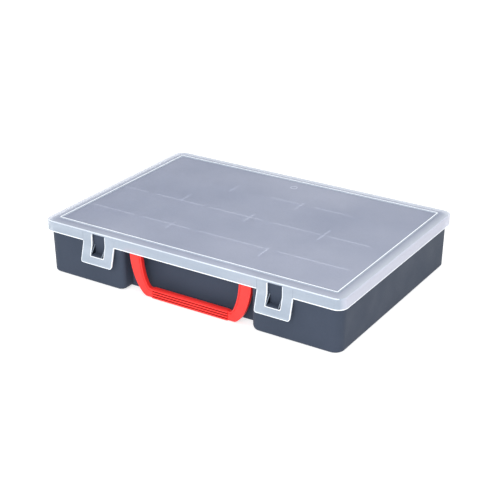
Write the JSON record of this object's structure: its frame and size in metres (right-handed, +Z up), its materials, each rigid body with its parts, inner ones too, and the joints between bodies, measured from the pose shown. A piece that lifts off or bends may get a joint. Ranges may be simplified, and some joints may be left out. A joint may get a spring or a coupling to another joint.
{
  "type": "parts organizer",
  "caption": "Flat case for small parts: tray with row walls and loose dividers, hinged see-through snap lid, flexing latches and a fold-out handle.",
  "frame": {"origin": "centre of the base, on the surface that the case lies on", "axes": "+X to the right along the row walls, -Y to the front with the handle and latches, +Z up"},
  "size_m": [0.4, 0.2908, 0.068],
  "materials": {
    "tray": "satin, fine moulded grain",
    "lid": "frosted, see-through",
    "handle": "semi-gloss",
    "dividers": "satin"
  },
  "bodies": {
    "tray": {"tray": "tray", "row_wall_front": "dividers", "row_wall_middle": "dividers", "row_wall_back": "dividers", "row_guides_front": "dividers", "row_guides_middle": "dividers", "row_guides_back": "dividers", "divider_front_left": "dividers", "divider_front_right": "dividers", "divider_third_left": "dividers", "divider_third_middle": "dividers", "divider_third_right": "dividers", "divider_back_left": "dividers", "divider_back_right": "dividers"},
    "lid": {"lid": "lid"},
    "latch_left": {"latch_left": "lid"},
    "latch_right": {"latch_right": "lid"},
    "handle": {"handle": "handle"}
  },
  "joints": [
    {"name": "lid_hinge", "type": "hinge", "parent": "tray", "child": "lid", "pos_m": [0, 0.1412, 0.0562], "axis": [-1, 0, 0], "range_deg": [0, 110]},
    {"name": "latch_left_flex", "type": "hinge", "parent": "lid", "child": "latch_left", "pos_m": [-0.1185, -0.1379, 0.0634], "axis": [-1, 0, 0], "range_deg": [0, 8], "stiffness_Nm_per_rad": 0.05},
    {"name": "latch_right_flex", "type": "hinge", "parent": "lid", "child": "latch_right", "pos_m": [0.1185, -0.1379, 0.0634], "axis": [-1, 0, 0], "range_deg": [0, 8], "stiffness_Nm_per_rad": 0.05},
    {"name": "handle_swing", "type": "hinge", "parent": "tray", "child": "handle", "pos_m": [0.0035, -0.1298, 0.0516], "axis": [-1, 0, 0], "range_deg": [0, 77]}
  ]
}
